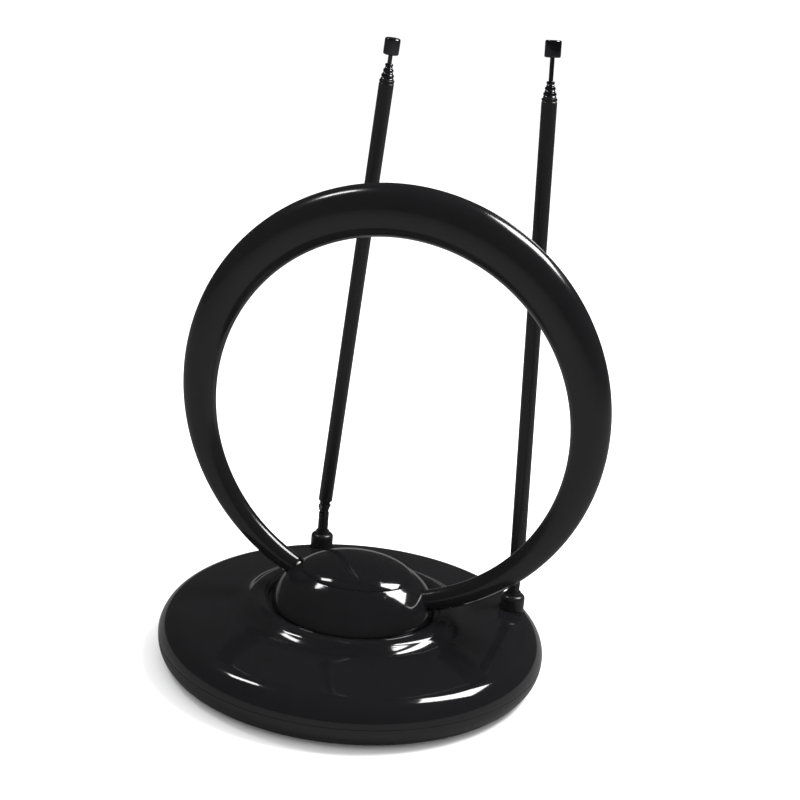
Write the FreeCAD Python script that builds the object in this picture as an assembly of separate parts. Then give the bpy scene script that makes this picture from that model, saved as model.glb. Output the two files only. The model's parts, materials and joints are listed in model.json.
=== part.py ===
"""Indoor television antenna: a UHF loop on a swivelling hub and two telescopic whips, on a round weighted base.

Origin: centre of the resting face. +Z is up, -Y is the front, and the two whips stand behind the hub along X.
Every piece is a solid of its own, in the pose that the antenna is left in: hub turned, loop leaning, whips closed.
"""
import FreeCAD, Part
import os
from math import acos, asin, atan2, cos, degrees, pi, radians, sin, sqrt

V = FreeCAD.Vector
X_AXIS, Y_AXIS, Z_AXIS = V(1, 0, 0), V(0, 1, 0), V(0, 0, 1)
ORIGIN = V(0, 0, 0)

# ---- driving dimensions, in millimetres and degrees ----
BASE_R = 89.2             # widest line of the base, where the shell meets the cover
RIM_Z = 11.0              # height of that line
RIM_R = 11.3               # rounding of the shell's rim
DOME_SLOPE = 8.0          # slope of the dome where it runs into the rim
DOME_LEVEL_R = 42.0       # the dome would be level at this distance from the axis
WALL = 2.4                # wall of shell and cover
COVER_Z = 1.5             # underside of the cover
COVER_R = 6.0              # how far in from the widest line the cover's rounding reaches
FOOT_R, FOOT_T = 7.0, 2.5 # rubber feet, let into the cover
FOOT_AT = 44.0            # distance of each foot from the middle, along X and along Y

COLLAR_AT_R = 44.2        # crest of the raised collar round the hub
COLLAR_Z = 29.4           # height of the crest
COLLAR_ROUND = 7.0        # rounding of the crest
COLLAR_IN_R = 40.2        # inner edge of the collar
COLLAR_FOOT_R = 58.0      # where the collar's hollow side starts on the dome
SEAT_Z = 26.5             # top of the floor inside the collar, on which the hub turns

HUB_TURN = 16.0           # the hub is left turned this far from the line of the whips
HUB_FLOOR_T = 2.1
HUB_WALL = 2.2
SEAM_Z, SEAM_HALF_W, SEAM_HALF_D = 43.2, 26.2, 22.8   # where the cap meets the hub's body
CAP_Z = 50.1              # top of the cap
CAP_CENTRE_Z = 38.8       # the cap is part of an ellipsoid centred at this height
HUB_BELL = [              # the body's form: height, half width, half depth
    (26.55, 37.6, 37.6), (27.5, 38.0, 38.0), (29.5, 37.5, 36.9), (32.5, 36.3, 34.4), (35.5, 34.7, 31.6),
    (38.3, 32.5, 28.6), (40.9, 29.6, 25.7), (SEAM_Z, SEAM_HALF_W, SEAM_HALF_D)]

LOOP_R = 90.0             # centre line of the loop
LOOP_BOTTOM_Z = 31.7      # centre line at its lowest, if the loop stood upright
LOOP_PIVOT_Z = 23.7
LOOP_LEAN = 5.0           # the loop leans this far to its right
LOOP_TOP_P, LOOP_TOP_Q = 11.7, 9.2     # half thickness at the top, along the radius and along the axis
LOOP_LEG_P, LOOP_LEG_Q = 4.7, 4.4      # the same at the legs
LOOP_WALL = 1.6
LEG_IN_X = 28.0           # the legs' shells end this far from the hub's middle
WALL_IN_X = 23.5          # the hub's walls are open for the legs from here outwards
CONDUCTOR_R = 1.1

WHIP_X, WHIP_Y = 55.0, 54.6
PIN_Z = 44.6              # height of the hinge pins
WHIP_LEAN = {"left": 5.9, "right": -3.3}      # degrees from upright, towards +X
WHIP_TURN = {"left": -20.0, "right": -15.0}   # degrees that the stems are left turned about Z
ROD_OUT = {"left": 4.1, "right": 10.1}        # last rod showing under the tip
TUBE_R = [3.5, 2.95, 2.4, 1.85, 1.0]          # outer radii, from the outer tube to the last rod
TUBE_WALL = 0.35
OUTER_TOP = 217.0         # from the pin to the top of the outer tube
STEP_UP = 2.4             # each closed tube stands this much above the one outside it
TIP_R, TIP_H = 3.6, 7.4

RUN = 0.05                # running clearance, on the radius

# ---- sizes worked out from these ----
DOME_R = RIM_R + (BASE_R - RIM_R - DOME_LEVEL_R) / sin(radians(DOME_SLOPE))
DOME_CENTRE_Z = RIM_Z - (DOME_R - RIM_R) * cos(radians(DOME_SLOPE))
FLOOR_TOP = COVER_Z + WALL
SEAT_UNDER = SEAT_Z - WALL
HUB_UNDER = SEAT_Z + RUN
HUB_FLOOR_TOP = HUB_UNDER + HUB_FLOOR_T
BORE_R = [r - TUBE_WALL for r in TUBE_R[:-1]]
SIDES = {"left": -1, "right": 1}


def export(name, shape):
    """Writes one sub-part, after a check that it is sound."""
    if not shape.isValid() or shape.Volume <= 0:
        raise ValueError(name + " is not a valid solid")
    solids = shape.Solids
    kept = solids[0] if len(solids) == 1 else Part.makeCompound(solids)
    kept.exportStep("parts/" + name + ".step")
    print(name, len(solids), round(shape.Volume, 1))


def cyl(r, z0, z1, x=0.0, y=0.0):
    return Part.makeCylinder(r, z1 - z0, V(x, y, z0))


def tube(r_out, r_in, z0, z1, x=0.0, y=0.0):
    return cyl(r_out, z0, z1, x, y).cut(cyl(r_in, z0 - 1, z1 + 1, x, y))


def box(x0, x1, y0, y1, z0, z1):
    return Part.makeBox(x1 - x0, y1 - y0, z1 - z0, V(x0, y0, z0))


def hexagon(across_flats, z0, z1, x=0.0, y=0.0):
    r = across_flats / sqrt(3)
    corners = [V(x + r * cos(k * pi / 3), y + r * sin(k * pi / 3), z0) for k in range(7)]
    return Part.Face(Part.makePolygon(corners)).extrude(V(0, 0, z1 - z0))


def fuse_all(shapes):
    return shapes[0].multiFuse(shapes[1:]) if len(shapes) > 1 else shapes[0]


def rz(r, z):
    """A point of a lathe profile."""
    return V(r, 0, z)


def line(a, b):
    return Part.LineSegment(a, b).toShape()


def arc(a, middle, b):
    return Part.Arc(a, middle, b).toShape()


def ellipse_arc(centre, run, rise, start, end):
    """An arc of the ellipse with half axes run (along r) and rise (along z), between two angles in degrees."""
    if abs(run) >= abs(rise):
        whole = Part.Ellipse(centre + V(run, 0, 0), centre + V(0, 0, rise), centre)
        shift = 0.0
    else:
        whole = Part.Ellipse(centre + V(0, 0, rise), centre - V(run, 0, 0), centre)
        shift = -90.0
    return Part.ArcOfEllipse(whole, radians(start + shift), radians(end + shift)).toShape()


def circle_arc(centre, r, start, end):
    """An arc round a profile point, between two angles in degrees from the outward direction."""
    at = [centre + rz(r * cos(radians(a)), r * sin(radians(a))) for a in (start, (start + end) / 2, end)]
    return arc(*at)


def lathe(edges):
    """Turns a closed profile in the XZ plane once round Z."""
    return Part.Face(Part.Wire(edges)).revolve(ORIGIN, Z_AXIS, 360)


def polygon_lathe(points):
    return Part.Face(Part.makePolygon([rz(*p) for p in points + points[:1]])).revolve(ORIGIN, Z_AXIS, 360)


def ring_of(count, radius, start=0.0):
    """Evenly spaced places on a circle."""
    step = 2 * pi / count
    return [(radius * cos(radians(start) + k * step), radius * sin(radians(start) + k * step)) for k in range(count)]


def run_of_wire(points, r):
    """An insulated lead: straight stretches with rounded elbows."""
    pieces = []
    for a, b in zip(points, points[1:]):
        pieces.append(Part.makeCylinder(r, (b - a).Length, a, b - a))
    pieces += [Part.makeSphere(r, p) for p in points[1:-1]]
    return fuse_all(pieces).removeSplitter()


def oval(half_w, half_d, z):
    """A level elliptical wire."""
    return Part.Wire(Part.Ellipse(V(half_w, 0, z), V(0, half_d, z), V(0, 0, z)).toShape())


def oval_bar(half_w, half_d, z0, z1):
    return Part.Face(oval(half_w, half_d, z0)).extrude(V(0, 0, z1 - z0))


# ---- base ----
SCREW_R = 60.0            # circle of the cover screws
SCREW_PLACES = ring_of(4, SCREW_R)
BOSS_R, PILOT_R = 4.0, 1.5
SPINDLE_R = 8.0
BOARD_Z, BOARD_T = 13.0, 1.6
BOARD_HALF_W, BOARD_Y0, BOARD_Y1 = 22.0, -8.0, 46.0
BOARD_SCREW_X, BOARD_SCREW_Y = 18.0, 33.0
BOARD_POST_R, BOARD_PILOT_R = 3.0, 1.25
SOCKET_R, SOCKET_Z, SOCKET_TOP = 5.6, 21.0, 29.9
SHANK_R, SHANK_END = 3.6, 11.05
SOCKET_BOSS_R, SOCKET_BOSS_Z = 7.0, 16.8
OUTLET_Z, OUTLET_R = 6.8, 2.2
OUTLET_FACE_Y, OUTLET_IN_Y = 83.2, 74.0
SLEEVE_R, POCKET_R, GROMMET_HEAD_L = 2.8, 3.6, 2.2
OUTLET_PAD_HALF_W = 7.0
TONGUE_OUT_R, TONGUE_IN_R, TONGUE_UP = 85.8, 84.4, 1.2


RIM_CENTRE = rz(BASE_R - RIM_R, RIM_Z)
DOME_CENTRE = rz(DOME_LEVEL_R, DOME_CENTRE_Z)
COLLAR_CENTRE = rz(COLLAR_AT_R, COLLAR_Z - COLLAR_ROUND)
FOOT_ANGLE = degrees(acos((COLLAR_FOOT_R - DOME_LEVEL_R) / DOME_R))


def hollow_circle():
    """Centre and radius of the hollow that runs smoothly from the dome into the collar's rounding."""
    outward = rz(cos(radians(FOOT_ANGLE)), sin(radians(FOOT_ANGLE)))
    foot = DOME_CENTRE + outward * DOME_R
    away = foot - COLLAR_CENTRE
    r = (away.dot(away) - COLLAR_ROUND ** 2) / (2 * (COLLAR_ROUND - away.dot(outward)))
    return foot + outward * r, r


def shell_skin(inset, last):
    """The shell's skin from the rim inwards: rim, dome, hollow and collar, drawn in by a wall."""
    hollow_at, hollow_r = hollow_circle()
    rise = hollow_at - COLLAR_CENTRE
    collar_angle = degrees(atan2(rise.z, rise.x))
    return [
        circle_arc(RIM_CENTRE, RIM_R - inset, 0, 90 - DOME_SLOPE),
        circle_arc(DOME_CENTRE, DOME_R - inset, 90 - DOME_SLOPE, FOOT_ANGLE),
        circle_arc(hollow_at, hollow_r + inset, 180 + FOOT_ANGLE, 180 + collar_angle),
        circle_arc(COLLAR_CENTRE, COLLAR_ROUND - inset, collar_angle, last),
    ]


def turned_shell():
    """The shell as it would come off a lathe: skin, seat, the hole for the spindle, and the skin's inner side."""
    in_angle = degrees(acos((COLLAR_IN_R - COLLAR_AT_R) / COLLAR_ROUND))
    under_angle = 180 - degrees(asin((SEAT_UNDER - COLLAR_CENTRE.z) / (COLLAR_ROUND - WALL)))
    outer = shell_skin(0, in_angle)
    inner = shell_skin(WALL, under_angle)
    edge = outer[-1].Vertexes[-1].Point
    under = inner[-1].Vertexes[-1].Point
    hole_r = SPINDLE_R + RUN
    corners = [edge, rz(COLLAR_IN_R, SEAT_Z), rz(hole_r, SEAT_Z), rz(hole_r, SEAT_UNDER), under]
    seat = [line(a, b) for a, b in zip(corners, corners[1:])]
    return lathe([line(rz(BASE_R - WALL, RIM_Z), rz(BASE_R, RIM_Z))] + outer + seat + inner[::-1])


def under_the_dome():
    """All the room under the dome's outer face, to which posts and pads are trimmed."""
    rim = shell_skin(0, 90)[0]
    dome = circle_arc(DOME_CENTRE, DOME_R, 90 - DOME_SLOPE, 90)
    top = DOME_CENTRE.z + DOME_R
    return lathe([
        line(rz(0, 0), rz(BASE_R, 0)), line(rz(BASE_R, 0), rz(BASE_R, RIM_Z)), rim, dome,
        line(rz(DOME_LEVEL_R, top), rz(0, top)), line(rz(0, top), rz(0, 0))])


def base_shell():
    room = under_the_dome()
    posts = [cyl(BOSS_R, FLOOR_TOP + RUN, COLLAR_Z, x, y).common(room) for x, y in SCREW_PLACES]
    holes = [cyl(PILOT_R, 0, RIM_Z + 3, x, y) for x, y in SCREW_PLACES]
    for side in (-1, 1):
        board_x, whip_x = side * BOARD_SCREW_X, side * WHIP_X
        posts.append(cyl(BOARD_POST_R, BOARD_Z + BOARD_T + RUN, SEAT_UNDER + 1.5, board_x, BOARD_SCREW_Y))
        posts.append(cyl(SOCKET_BOSS_R, SOCKET_BOSS_Z, COLLAR_Z, whip_x, WHIP_Y).common(room))
        posts.append(cyl(SOCKET_R + 0.5, SOCKET_BOSS_Z + 1, SOCKET_Z, whip_x, WHIP_Y))
        holes.append(cyl(BOARD_PILOT_R, BOARD_Z, SEAT_UNDER - 1, board_x, BOARD_SCREW_Y))
        holes.append(cyl(SHANK_R + RUN, 0, SOCKET_Z + 5, whip_x, WHIP_Y))
        holes.append(cyl(SOCKET_R + 0.5, SOCKET_Z, COLLAR_Z, whip_x, WHIP_Y))
    return fuse_all([turned_shell()] + posts).cut(holes).removeSplitter()


def cover_form(inset):
    """The cover's outer form as a solid, drawn in by a wall."""
    low = COVER_Z + inset
    return lathe([
        line(rz(0, low), rz(BASE_R - COVER_R, low)),
        ellipse_arc(rz(BASE_R - COVER_R, RIM_Z), COVER_R - inset, RIM_Z - low, 270, 360),
        line(rz(BASE_R - inset, RIM_Z), rz(0, RIM_Z)),
        line(rz(0, RIM_Z), rz(0, low)),
    ])


def base_cover():
    outer = cover_form(0)
    inner = cover_form(WALL)
    tongue = tube(TONGUE_OUT_R, TONGUE_IN_R, FLOOR_TOP + 1, RIM_Z + TONGUE_UP)
    pad = box(-OUTLET_PAD_HALF_W, OUTLET_PAD_HALF_W, OUTLET_IN_Y, BASE_R, FLOOR_TOP - 1, RIM_Z - 0.5)
    body = fuse_all([outer.cut(inner), tongue, pad.common(cover_form(WALL / 2))])
    tools = [cyl(FOOT_R + RUN, -1, FOOT_T + 0.02, x, y) for x, y in foot_places()]
    tools.append(Part.makeCylinder(SLEEVE_R + RUN, 30, V(0, 70, OUTLET_Z), Y_AXIS))
    tools.append(Part.makeCylinder(POCKET_R, 20, V(0, OUTLET_FACE_Y, OUTLET_Z), Y_AXIS))
    for x, y in SCREW_PLACES:
        tools.append(cyl(1.7, 0, FLOOR_TOP + 1, x, y))
        tools.append(cyl(3.4, 0, COVER_Z + 1.3, x, y))
    return body.cut(tools).removeSplitter()


def ballast_plate():
    plate = tube(69.0, 30.0, FLOOR_TOP + 0.02, FLOOR_TOP + 3)
    return plate.cut([cyl(BOSS_R + 0.6, 0, 20, x, y) for x, y in SCREW_PLACES])


def pan_screw(head_r, head_z0, head_z1, shank_r, end_z, x, y):
    """A self-tapping screw driven upwards, with a cross recess in its head."""
    head = cyl(head_r, head_z0, head_z1, x, y)
    head = head.makeFillet(0.4, [e for e in head.Edges if abs(e.BoundBox.ZMax - head_z0) < 0.01])
    slot = 0.35 * head_r
    cross = [box(x - slot * 2, x + slot * 2, y - 0.35, y + 0.35, head_z0 - 1, head_z0 + 0.6)]
    cross.append(box(x - 0.35, x + 0.35, y - slot * 2, y + slot * 2, head_z0 - 1, head_z0 + 0.6))
    return head.cut(cross).fuse(cyl(shank_r, head_z1, end_z, x, y)).removeSplitter()


def cover_screws():
    z = COVER_Z + 0.15
    return Part.makeCompound([pan_screw(3.1, z, z + 1.1, 1.45, RIM_Z, x, y) for x, y in SCREW_PLACES])


def cable_grommet():
    sleeve = Part.makeCylinder(SLEEVE_R, OUTLET_FACE_Y - OUTLET_IN_Y, V(0, OUTLET_IN_Y, OUTLET_Z), Y_AXIS)
    head = Part.makeCylinder(POCKET_R - 0.1, GROMMET_HEAD_L, V(0, OUTLET_FACE_Y, OUTLET_Z), Y_AXIS)
    outer_y = OUTLET_FACE_Y + GROMMET_HEAD_L
    head = head.makeFillet(0.9, [e for e in head.Edges if e.BoundBox.YMin > outer_y - 0.1])
    bore = Part.makeCylinder(OUTLET_R, 30, V(0, 65, OUTLET_Z), Y_AXIS)
    return sleeve.fuse(head).cut(bore).removeSplitter()


def circuit_board():
    board = box(-BOARD_HALF_W, BOARD_HALF_W, BOARD_Y0, BOARD_Y1, BOARD_Z, BOARD_Z + BOARD_T)
    return board.cut([cyl(1.5, 0, 30, side * BOARD_SCREW_X, BOARD_SCREW_Y) for side in (-1, 1)])


def board_screws():
    return Part.makeCompound([
        pan_screw(2.4, BOARD_Z - 1.3, BOARD_Z - RUN, 1.2, BOARD_Z + 8, side * BOARD_SCREW_X, BOARD_SCREW_Y)
        for side in (-1, 1)])


CORE_X, CORE_Y0, CORE_Y1, CORE_Z = -4.0, 27.0, 38.0, BOARD_Z + BOARD_T + RUN
CORE_HOLES = (CORE_X - 3.4, CORE_X + 3.4)


def balun_core():
    """A ferrite block with two holes, through which the transformer's turns pass."""
    core = box(CORE_X - 7, CORE_X + 7, CORE_Y0, CORE_Y1, CORE_Z, CORE_Z + 7)
    core = core.makeFillet(1.6, [e for e in core.Edges if abs(e.BoundBox.YLength - (CORE_Y1 - CORE_Y0)) < 0.01])
    return core.cut([Part.makeCylinder(1.7, 20, V(x, CORE_Y0 - 2, CORE_Z + 3.5), Y_AXIS) for x in CORE_HOLES])


def balun_windings():
    """Three turns of enamelled wire, through one hole and back through the other."""
    turns = []
    for dz in (-1.0, 0.0, 1.0):
        z = CORE_Z + 3.5 + dz
        near, far = CORE_Y0 - 1.2 - abs(dz) * 0.4, CORE_Y1 + 1.2 + abs(dz) * 0.4
        a, b = CORE_HOLES
        corners = [V(a, near, z), V(a, far, z), V(b, far, z), V(b, near, z), V(a, near, z)]
        turns.append(run_of_wire(corners + [corners[1]], 0.38).removeSplitter())
    return Part.makeCompound(turns)


def capacitors():
    cans = []
    for x, y in ((10.0, 26.0), (10.0, 38.0)):
        can = Part.makeCylinder(3.1, 2.4, V(x - 1.2, y, CORE_Z + 3.4), X_AXIS)
        feet = [cyl(0.3, CORE_Z, CORE_Z + 3.0, x, y + d) for d in (-1.6, 1.6)]
        cans.append(fuse_all([can] + feet))
    return Part.makeCompound(cans)


def foot_places():
    return [(x, y) for x in (-FOOT_AT, FOOT_AT) for y in (-FOOT_AT, FOOT_AT)]


def rubber_feet():
    feet = []
    for x, y in foot_places():
        foot = cyl(FOOT_R, 0, FOOT_T, x, y)
        feet.append(foot.makeFillet(0.6, [e for e in foot.Edges if e.BoundBox.ZMax < 0.01]))
    return Part.makeCompound(feet)


def socket(side):
    """The turned barrel that a whip's stem turns in, with its threaded shank."""
    x = side * WHIP_X
    barrel = cyl(SOCKET_R, SOCKET_Z + 0.02, SOCKET_TOP, x, WHIP_Y)
    barrel = barrel.makeFillet(2.0, [e for e in barrel.Edges if e.BoundBox.ZMin > SOCKET_TOP - 0.01])
    shank = cyl(SHANK_R, SHANK_END, SOCKET_Z + 0.02, x, WHIP_Y)
    return barrel.fuse(shank).cut(cyl(STEM_R + RUN, 0, 50, x, WHIP_Y)).removeSplitter()


def socket_nut(side):
    x = side * WHIP_X
    return hexagon(11, 12.4, 15.9, x, WHIP_Y).cut(cyl(SHANK_R + 0.02, 0, 30, x, WHIP_Y))


def solder_tag(side):
    """A ring under the nut with a lug that points at the board."""
    x = side * WHIP_X
    lug = box(-14, 0, -2, 2, 15.95, 16.7)
    lug.rotate(ORIGIN, Z_AXIS, 45)
    if side < 0:
        lug = lug.mirror(ORIGIN, X_AXIS)
    lug.translate(V(x, WHIP_Y, 0))
    ring = cyl(5.0, 15.95, 16.7, x, WHIP_Y).fuse(lug)
    return ring.cut(cyl(SHANK_R + 0.02, 0, 30, x, WHIP_Y)).removeSplitter()


def whip_lead(side):
    """The lead from a solder tag to the circuit board."""
    tag = V(side * (WHIP_X - 9.5), WHIP_Y - 9.5, 15.3)
    turn = V(side * 28, 41, 15.3)
    over = V(side * 19, 41, 16.5)
    return run_of_wire([tag, turn, over, V(side * 19, 41, BOARD_Z + BOARD_T + RUN)], 0.6)


# ---- hub ----
CLAMP_SCREWS = [(22.2, 5.7), (-22.2, -5.7)]
CLAMP_TOP = 40.2
NUT_TOP = 21.4
LIP_GAP, LIP_T, LIP_DOWN, LIP_UP = 0.4, 1.4, 1.6, 0.8


def turned(shape):
    """Places a piece of the hub or loop at the angle that the hub is left at."""
    moved = shape.copy()
    moved.rotate(ORIGIN, Z_AXIS, HUB_TURN)
    return moved


def bell_form(inset):
    """The hub's bell-shaped body as a solid, drawn in by a wall."""
    return Part.makeLoft([oval(w - inset, d - inset, z) for z, w, d in HUB_BELL], True, False)


def cap_form(inset):
    """The cap as a solid: the top of an ellipsoid, drawn in by a wall."""
    height = CAP_Z - CAP_CENTRE_Z
    half_w = SEAM_HALF_W / sqrt(1 - ((SEAM_Z - CAP_CENTRE_Z) / height) ** 2) - inset
    height -= inset
    angle = degrees(asin((SEAM_Z - CAP_CENTRE_Z) / height))
    curve = ellipse_arc(rz(0, CAP_CENTRE_Z), half_w, height, angle, 90)
    edge = rz(half_w * cos(radians(angle)), SEAM_Z)
    top = rz(0, CAP_CENTRE_Z + height)
    form = lathe([line(rz(0, SEAM_Z), edge), curve, line(top, rz(0, SEAM_Z))])
    narrower = FreeCAD.Matrix()
    narrower.A22 = SEAM_HALF_D / SEAM_HALF_W
    return form.transformGeometry(narrower)


def hub_body():
    """The bell that turns in the collar: a round floor, and a wall that narrows to the cap's oval seam."""
    inside = bell_form(HUB_WALL).cut(box(-50, 50, -50, 50, 0, HUB_FLOOR_TOP))
    bosses = [cyl(2.6, HUB_FLOOR_TOP - 0.5, 33.0, x, y) for x, y in CLAMP_SCREWS]
    body = fuse_all([bell_form(0).cut(inside)] + bosses)
    holes = [cyl(1.25, HUB_FLOOR_TOP + 0.3, 34, x, y) for x, y in CLAMP_SCREWS]
    holes.append(cyl(SPINDLE_R + 0.02, 0, 35))
    return body.cut(holes + [legs_form()]).removeSplitter()


def hub_cap():
    """The dome that closes the bell, with a lip that stands inside the bell's mouth."""
    shell = cap_form(0).cut(cap_form(HUB_WALL))
    lip_w, lip_d = SEAM_HALF_W - HUB_WALL - LIP_GAP, SEAM_HALF_D - HUB_WALL - LIP_GAP
    lip = oval_bar(lip_w, lip_d, SEAM_Z - LIP_DOWN, SEAM_Z + LIP_UP)
    lip = lip.cut(oval_bar(lip_w - LIP_T, lip_d - LIP_T, SEAM_Z - LIP_DOWN - 1, SEAM_Z + LIP_UP + 1))
    cap = shell.fuse(lip)
    cap.translate(V(0, 0, RUN))
    return cap.cut(legs_form()).removeSplitter()


def hub_spindle():
    """A hollow spindle with a flat head, on which the hub turns in the shell."""
    head = cyl(10.2, HUB_FLOOR_TOP, HUB_FLOOR_TOP + 1.2)
    shank = cyl(SPINDLE_R, 15.4, HUB_FLOOR_TOP)
    return head.fuse(shank).cut(cyl(5.2, 0, 40)).removeSplitter()


def spindle_washer():
    return tube(14.0, SPINDLE_R + 0.1, SEAT_UNDER - 1.25, SEAT_UNDER - RUN)


def wave_spring():
    """A dished spring ring that keeps the swivel stiff."""
    top = SEAT_UNDER - 1.3
    return polygon_lathe([(8.2, NUT_TOP + 0.02), (9.0, NUT_TOP + 0.02), (13.0, top - 0.4), (13.0, top),
                          (12.4, top), (8.2, NUT_TOP + 0.5)])


def spindle_nut():
    return hexagon(22, 16.4, NUT_TOP).cut(cyl(SPINDLE_R + 0.02, 0, 30))


def loop_clamp():
    """A bridge inside the hub that grips the plugs of both legs."""
    low = HUB_FLOOR_TOP + 0.02
    block = box(-25, 25, -8.7, 8.7, low, CLAMP_TOP)
    arch = box(-18.6, 18.6, -10, 10, low - 1, 37.5)
    pockets = [cyl(2.65, 0, 33.05, x, y) for x, y in CLAMP_SCREWS]
    shanks = [cyl(1.3, 0, 50, x, y) for x, y in CLAMP_SCREWS]
    grooves = [plug_form(PLUG_R + RUN), leaned(arc_bar(CONDUCTOR_R + RUN, -CONDUCTOR_TO, CONDUCTOR_TO))]
    return block.cut([arch] + grooves + pockets + shanks).common(bell_form(HUB_WALL + 0.1))


def clamp_screws():
    screws = []
    for x, y in CLAMP_SCREWS:
        head = cyl(2.2, CLAMP_TOP + 0.02, CLAMP_TOP + 1.2, x, y)
        slot = box(x - 3, x + 3, y - 0.3, y + 0.3, CLAMP_TOP + 0.7, CLAMP_TOP + 3)
        screws.append(head.cut(slot).fuse(cyl(1.2, HUB_FLOOR_TOP + 0.6, CLAMP_TOP + 0.02, x, y)).removeSplitter())
    return Part.makeCompound(screws)


# ---- loop ----
LOOP_CENTRE = V(0, 0, LOOP_BOTTOM_Z + LOOP_R)
PLUG_R, PLUG_FROM, PLUG_TO = 2.75, 152.0, 168.0
CONDUCTOR_TO = 172.0
LOFT_TO, LOFT_STEP = 168.0, 12.0
RIB_ANGLES = (-135, -90, -45, 0, 45, 90, 135)


def leaned(shape):
    """Leans an upright loop piece to the side, about a point low in the hub."""
    moved = shape.copy()
    moved.rotate(V(0, 0, LOOP_PIVOT_Z), Y_AXIS, LOOP_LEAN)
    return moved


def loop_point(angle, r=LOOP_R):
    """A point on the upright loop, at an angle from its top towards +X."""
    return LOOP_CENTRE + V(r * sin(radians(angle)), 0, r * cos(radians(angle)))


def section(angle, inset):
    """The loop's oval section at an angle from its top, drawn in by a wall."""
    share = (1 + cos(radians(angle))) / 2
    p = LOOP_LEG_P + (LOOP_TOP_P - LOOP_LEG_P) * share - inset
    q = LOOP_LEG_Q + (LOOP_TOP_Q - LOOP_LEG_Q) * share - inset
    centre = loop_point(angle)
    outward = loop_point(angle, LOOP_R + p)
    return Part.Wire(Part.Ellipse(outward, centre + V(0, q, 0), centre).toShape())


def upright_loop(inset):
    count = int(2 * LOFT_TO / LOFT_STEP)
    return Part.makeLoft([section(-LOFT_TO + k * LOFT_STEP, inset) for k in range(count + 1)], True, False)


def legs_form():
    """Room for the loop's legs in the hub's walls."""
    return leaned(upright_loop(-0.15)).cut(box(-WALL_IN_X, WALL_IN_X, -30, 30, 0, 60))


def arc_bar(r, start, end):
    """A round bar bent to the loop's centre line, between two angles from its top."""
    disc = Part.Face(Part.Wire(Part.Circle(loop_point(start), tangent(start), r).toShape()))
    return disc.revolve(LOOP_CENTRE, Y_AXIS, end - start)


def tangent(angle):
    return V(cos(radians(angle)), 0, -sin(radians(angle)))


def ribs():
    """Thin webs across the loop that hold the conductor in its middle."""
    webs = []
    for angle in RIB_ANGLES:
        web = box(-0.8, 0.8, -20, 20, LOOP_R - 20, LOOP_R + 20)
        web.rotate(ORIGIN, Y_AXIS, angle)
        web.translate(LOOP_CENTRE)
        webs.append(web)
    return webs


def loop_shells():
    """The front and back halves of the loop's cover, with their webs."""
    outer, inner = upright_loop(0), upright_loop(LOOP_WALL)
    webs = [web.common(inner) for web in ribs()]
    cover = fuse_all([outer.cut(inner)] + webs).cut(arc_bar(CONDUCTOR_R + RUN, -LOFT_TO, LOFT_TO))
    cover = leaned(cover).cut(box(-LEG_IN_X, LEG_IN_X, -30, 30, 0, 60))
    front = cover.common(box(-150, 150, -30, -0.01, 0, 300))
    back = cover.common(box(-150, 150, 0.01, 30, 0, 300))
    return front.removeSplitter(), back.removeSplitter()


def loop_conductor():
    return leaned(arc_bar(CONDUCTOR_R, -CONDUCTOR_TO, CONDUCTOR_TO))


def plug_form(r):
    """The two plugs that join the legs to the clamp, as plain bent bars."""
    return leaned(fuse_all([arc_bar(r, -PLUG_TO, -PLUG_FROM), arc_bar(r, PLUG_FROM, PLUG_TO)]))


def loop_plugs():
    return plug_form(PLUG_R).cut(leaned(arc_bar(CONDUCTOR_R + 0.02, -CONDUCTOR_TO, CONDUCTOR_TO)))


def terminal_point(side):
    """The middle of a terminal, on the conductor's end."""
    bar = leaned(Part.Vertex(loop_point(side * (CONDUCTOR_TO - 0.9))))
    return bar.Point


def loop_terminals():
    blocks = []
    for side in (-1, 1):
        p = terminal_point(side)
        block = box(p.x - 1.4, p.x + 1.4, -2.4, 2.4, p.z - 1.3, p.z + 3.4)
        block = block.cut(leaned(arc_bar(CONDUCTOR_R + 0.02, -CONDUCTOR_TO - 2, CONDUCTOR_TO + 2)))
        blocks.append(block)
    return Part.makeCompound(blocks)


def loop_leads():
    """Two leads from the terminals, down through the spindle to the board."""
    leads = []
    for side in (-1, 1):
        p = terminal_point(side)
        start = V(p.x - side * 1.42, 0, p.z + 2.2)
        bend = V(side * 2.2, 0, start.z)
        leads.append(run_of_wire([start, bend, V(side * 2.2, 0, BOARD_Z + BOARD_T + RUN)], 0.7))
    return Part.makeCompound(leads)


# ---- whips: built upright on the pin's centre, then placed ----
STEM_R = 2.0
KNUCKLE_R = 2.6
TANG_T, SLOT_T = 2.0, 2.1
PIN_R = 0.9
FORK_TOP, FORK_SHOULDER, SLOT_TOP = 11.0, 3.2, 2.75
COLLAR_L = 5.0
CRIMP_L = 3.0
TUBE_FEET = [FORK_SHOULDER, 13.0, 14.0, 15.0, 16.0]
CLIP_Z0, CLIP_Z1, GROOVE_R = 10.2, 10.9, 1.55


def stand(shape, side_name):
    """Puts a stem piece in its socket: turned about Z."""
    moved = shape.copy()
    moved.rotate(ORIGIN, Z_AXIS, WHIP_TURN[side_name])
    moved.translate(V(SIDES[side_name] * WHIP_X, WHIP_Y, PIN_Z))
    return moved


def lean(shape, side_name):
    """Puts a whip piece on its pin: leaned about the pin, then turned with the stem."""
    moved = shape.copy()
    moved.rotate(ORIGIN, Y_AXIS, WHIP_LEAN[side_name])
    return stand(moved, side_name)


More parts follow.
